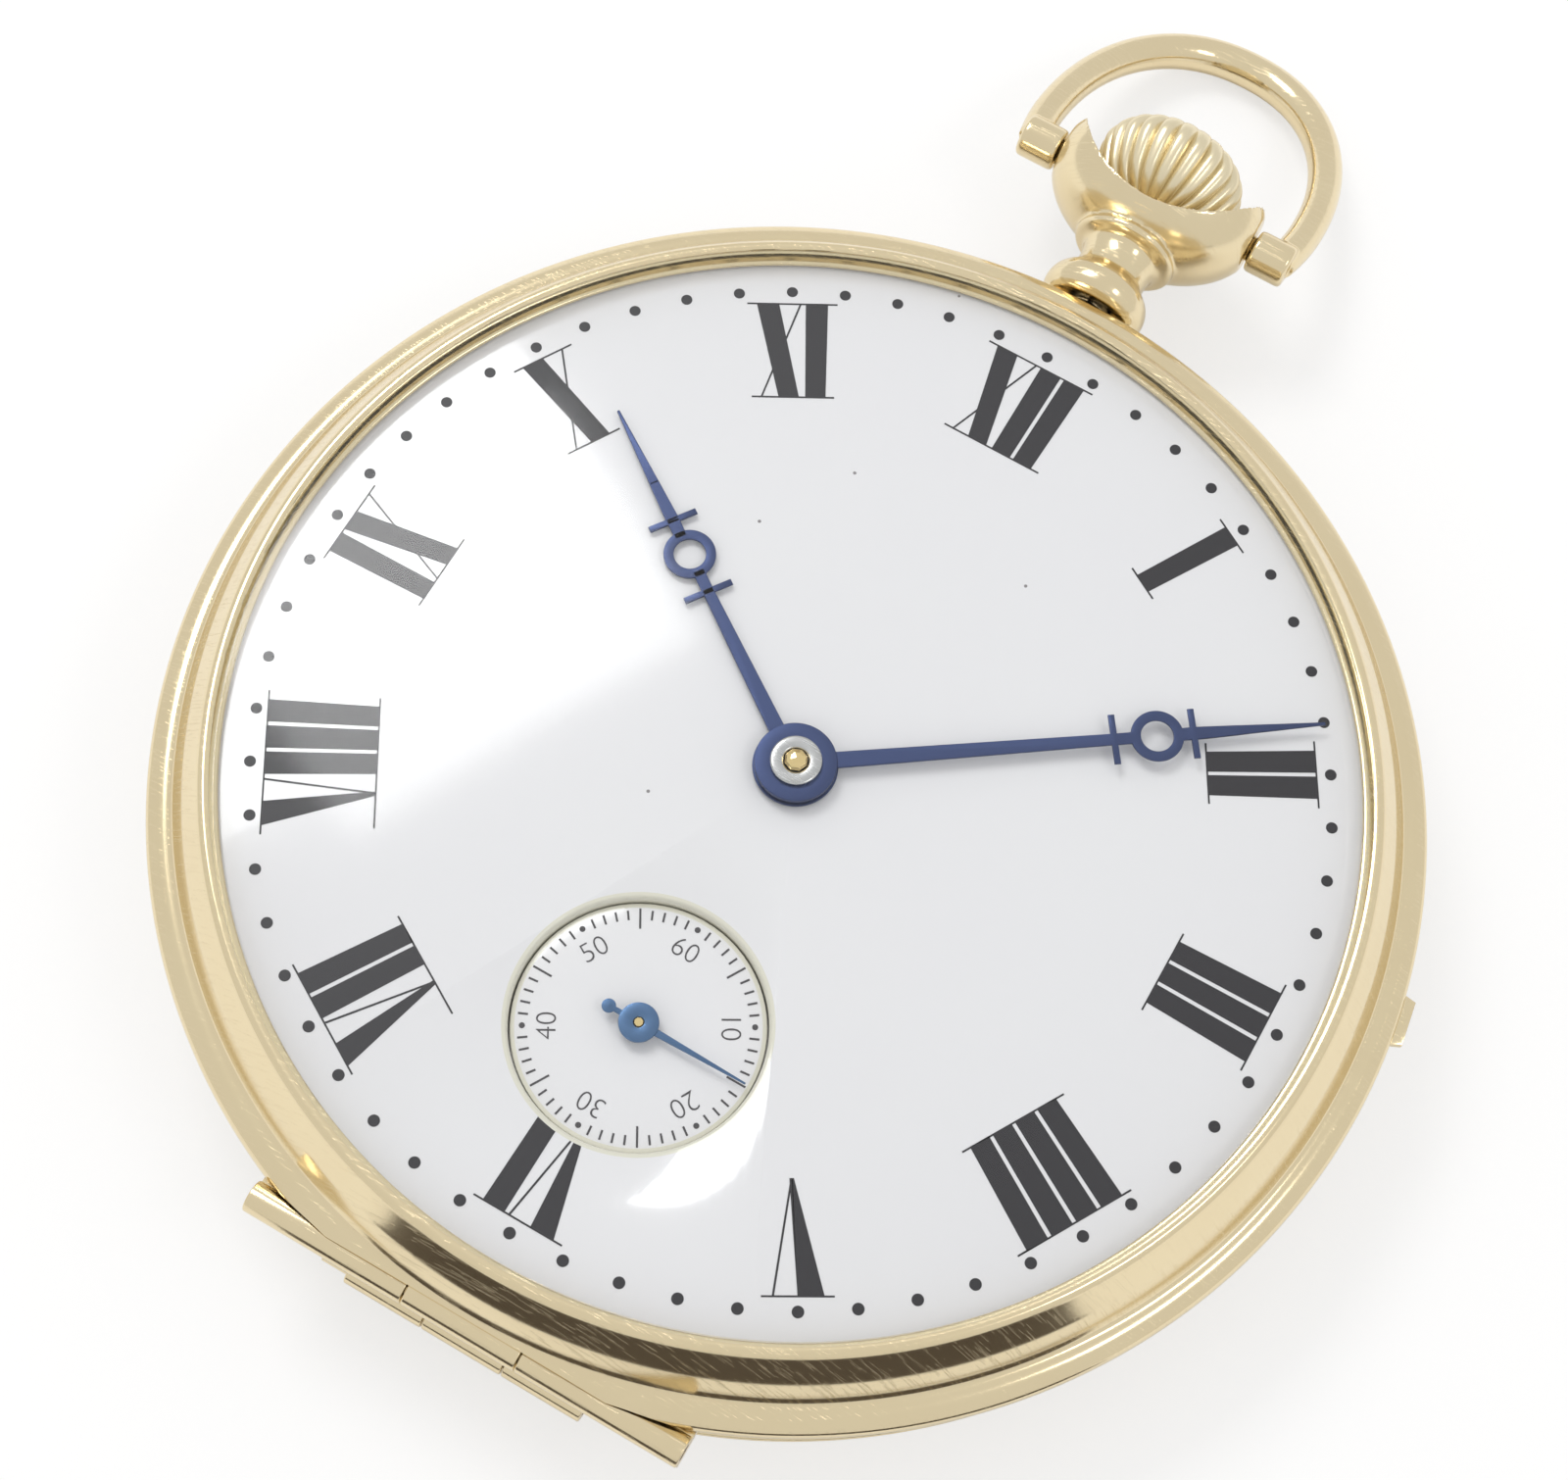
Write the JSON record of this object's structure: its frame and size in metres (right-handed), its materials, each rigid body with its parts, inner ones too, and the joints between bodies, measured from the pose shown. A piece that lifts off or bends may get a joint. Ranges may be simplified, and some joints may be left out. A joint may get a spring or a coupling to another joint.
{
  "type": "open face pocket watch",
  "caption": "Open face pocket watch lying on its back, with hinged bezel and back cover, stem winding crown, swinging bow, running hands and geared movement.",
  "frame": {"origin": "on the case axis, at the flat resting face of the back cover", "axes": "+Z out of the dial, +Y from 6 o'clock to the pendant and crown, +X to 3 o'clock"},
  "size_m": [0.044, 0.0601, 0.0104],
  "materials": {
    "gold": "polished 14K yellow gold",
    "worn_gold": "worn 14K yellow gold, fluted",
    "crystal": "clear, polished",
    "enamel": "opaque white vitreous enamel, glossy",
    "blued_steel": "blued and polished",
    "steel": "polished",
    "nickel": "nickel plated with fine stripes",
    "train_brass": "polished",
    "ruby": "polished red jewel"
  },
  "bodies": {
    "case": {"case_body": "gold", "pendant": "gold", "pendant_sleeve": "steel", "bezel_hinge_pin": "gold", "back_hinge_pin": "gold", "main_plate": "nickel", "dial": "enamel", "seconds_dial": "enamel", "barrel_bridge": "nickel", "train_bridge": "nickel", "balance_cock": "nickel", "pallet_cock": "nickel", "crown_wheel_screw": "blued_steel", "barrel_bridge_screw_1": "blued_steel", "barrel_bridge_screw_2": "blued_steel", "barrel_bridge_screw_3": "blued_steel", "train_bridge_screw_1": "blued_steel", "train_bridge_screw_2": "blued_steel", "train_bridge_screw_3": "blued_steel", "balance_cock_screw": "blued_steel", "case_screw_1": "blued_steel", "case_screw_2": "blued_steel", "centre_jewel": "ruby", "third_jewel": "ruby", "fourth_jewel": "ruby", "escape_jewel": "ruby", "balance_jewel": "ruby"},
    "bezel": {"bezel": "gold", "crystal": "crystal"},
    "back_cover": {"back_cover": "gold"},
    "bow": {"bow": "gold"},
    "winding_pinion": {"winding_pinion": "steel"},
    "crown": {"crown": "worn_gold", "winding_stem": "steel"},
    "crown_wheel": {"crown_wheel": "steel"},
    "ratchet": {"ratchet_wheel": "steel", "barrel_arbor": "steel", "ratchet_screw": "blued_steel"},
    "click": {"click": "steel"},
    "barrel": {"barrel": "train_brass", "barrel_cap": "train_brass", "mainspring": "blued_steel"},
    "centre_wheel": {"centre_wheel": "train_brass"},
    "third_wheel": {"third_wheel": "train_brass"},
    "fourth_wheel": {"fourth_wheel": "train_brass", "seconds_hand": "blued_steel"},
    "escape_wheel": {"escape_wheel": "train_brass"},
    "pallet_fork": {"pallet_fork": "steel"},
    "balance": {"balance_wheel": "train_brass", "hairspring": "blued_steel"},
    "regulator": {"regulator": "steel"},
    "minute_hand": {"minute_hand": "blued_steel", "cannon_pinion": "steel"},
    "minute_wheel": {"minute_wheel": "train_brass"},
    "hour_hand": {"hour_hand": "blued_steel", "hour_wheel": "train_brass"}
  },
  "joints": [
    {"name": "bezel_open", "type": "hinge", "parent": "case", "child": "bezel", "pos_m": [0, -0.02105, 0.00575], "axis": [1, 0, 0], "range_deg": [0, 120]},
    {"name": "back_cover_open", "type": "hinge", "parent": "case", "child": "back_cover", "pos_m": [0, -0.02115, 0.0032], "axis": [-1, 0, 0], "range_deg": [0, 120]},
    {"name": "bow_swing", "type": "hinge", "parent": "case", "child": "bow", "pos_m": [0, 0.02784, 0.0049], "axis": [1, 0, 0], "range_deg": [-125, 165]},
    {"name": "crown_turn", "type": "hinge", "parent": "case", "child": "winding_pinion", "pos_m": [0, 0.0158, 0.0049], "axis": [0, 1, 0], "continuous": true},
    {"name": "crown_pull", "type": "slide", "parent": "winding_pinion", "child": "crown", "axis": [0, 1, 0], "range_m": [0, 0.001]},
    {"name": "crown_wheel_turn", "type": "hinge", "parent": "case", "child": "crown_wheel", "pos_m": [0, 0.0126, 0.0027], "axis": [0, 0, 1], "continuous": true},
    {"name": "ratchet_turn", "type": "hinge", "parent": "case", "child": "ratchet", "pos_m": [0.0066, 0.0064, 0.0027], "axis": [0, 0, 1], "continuous": true},
    {"name": "click_swing", "type": "hinge", "parent": "case", "child": "click", "pos_m": [0.0099, 0.014, 0.0027], "axis": [0, 0, 1], "range_deg": [-12, 0]},
    {"name": "seconds_turn", "type": "hinge", "parent": "case", "child": "fourth_wheel", "pos_m": [0, -0.01025, 0.005], "axis": [0, 0, -1], "continuous": true},
    {"name": "third_wheel_turn", "type": "hinge", "parent": "case", "child": "third_wheel", "pos_m": [0.003, -0.00605, 0.004], "axis": [0, 0, -1], "continuous": true},
    {"name": "centre_wheel_turn", "type": "hinge", "parent": "case", "child": "centre_wheel", "pos_m": [0, 0, 0.004], "axis": [0, 0, -1], "continuous": true},
    {"name": "barrel_turn", "type": "hinge", "parent": "case", "child": "barrel", "pos_m": [0.0066, 0.0064, 0.004], "axis": [0, 0, -1], "continuous": true},
    {"name": "escape_wheel_turn", "type": "hinge", "parent": "case", "child": "escape_wheel", "pos_m": [-0.0039, -0.01277, 0.004], "axis": [0, 0, -1], "continuous": true},
    {"name": "pallet_fork_swing", "type": "hinge", "parent": "case", "child": "pallet_fork", "pos_m": [-0.00625, -0.00991, 0.0046], "axis": [0, 0, 1], "range_deg": [-3.5, 3.5]},
    {"name": "balance_swing", "type": "hinge", "parent": "case", "child": "balance", "pos_m": [-0.0103, -0.005, 0.0036], "axis": [0, 0, 1], "range_deg": [-270, 270]},
    {"name": "regulator_swing", "type": "hinge", "parent": "case", "child": "regulator", "pos_m": [-0.0103, -0.005, 0.00195], "axis": [0, 0, 1], "range_deg": [-20, 20]},
    {"name": "minute_hand_turn", "type": "hinge", "parent": "case", "child": "minute_hand", "pos_m": [0, 0, 0.0082], "axis": [0, 0, -1], "continuous": true},
    {"name": "minute_wheel_turn", "type": "hinge", "parent": "case", "child": "minute_wheel", "pos_m": [0.0026, 0.0015, 0.0066], "axis": [0, 0, -1], "continuous": true},
    {"name": "hour_hand_turn", "type": "hinge", "parent": "case", "child": "hour_hand", "pos_m": [0, 0, 0.008], "axis": [0, 0, -1], "continuous": true}
  ],
  "couplings": [
    {"joint": "crown_wheel_turn", "follows": "crown_turn", "ratio": 0.6},
    {"joint": "ratchet_turn", "follows": "crown_turn", "ratio": -0.28571},
    {"joint": "third_wheel_turn", "follows": "seconds_turn", "ratio": -0.13333},
    {"joint": "centre_wheel_turn", "follows": "seconds_turn", "ratio": 0.016667},
    {"joint": "barrel_turn", "follows": "seconds_turn", "ratio": -0.0027778},
    {"joint": "escape_wheel_turn", "follows": "seconds_turn", "ratio": -10},
    {"joint": "minute_wheel_turn", "follows": "minute_hand_turn", "ratio": -0.33333},
    {"joint": "hour_hand_turn", "follows": "minute_hand_turn", "ratio": 0.083333}
  ]
}
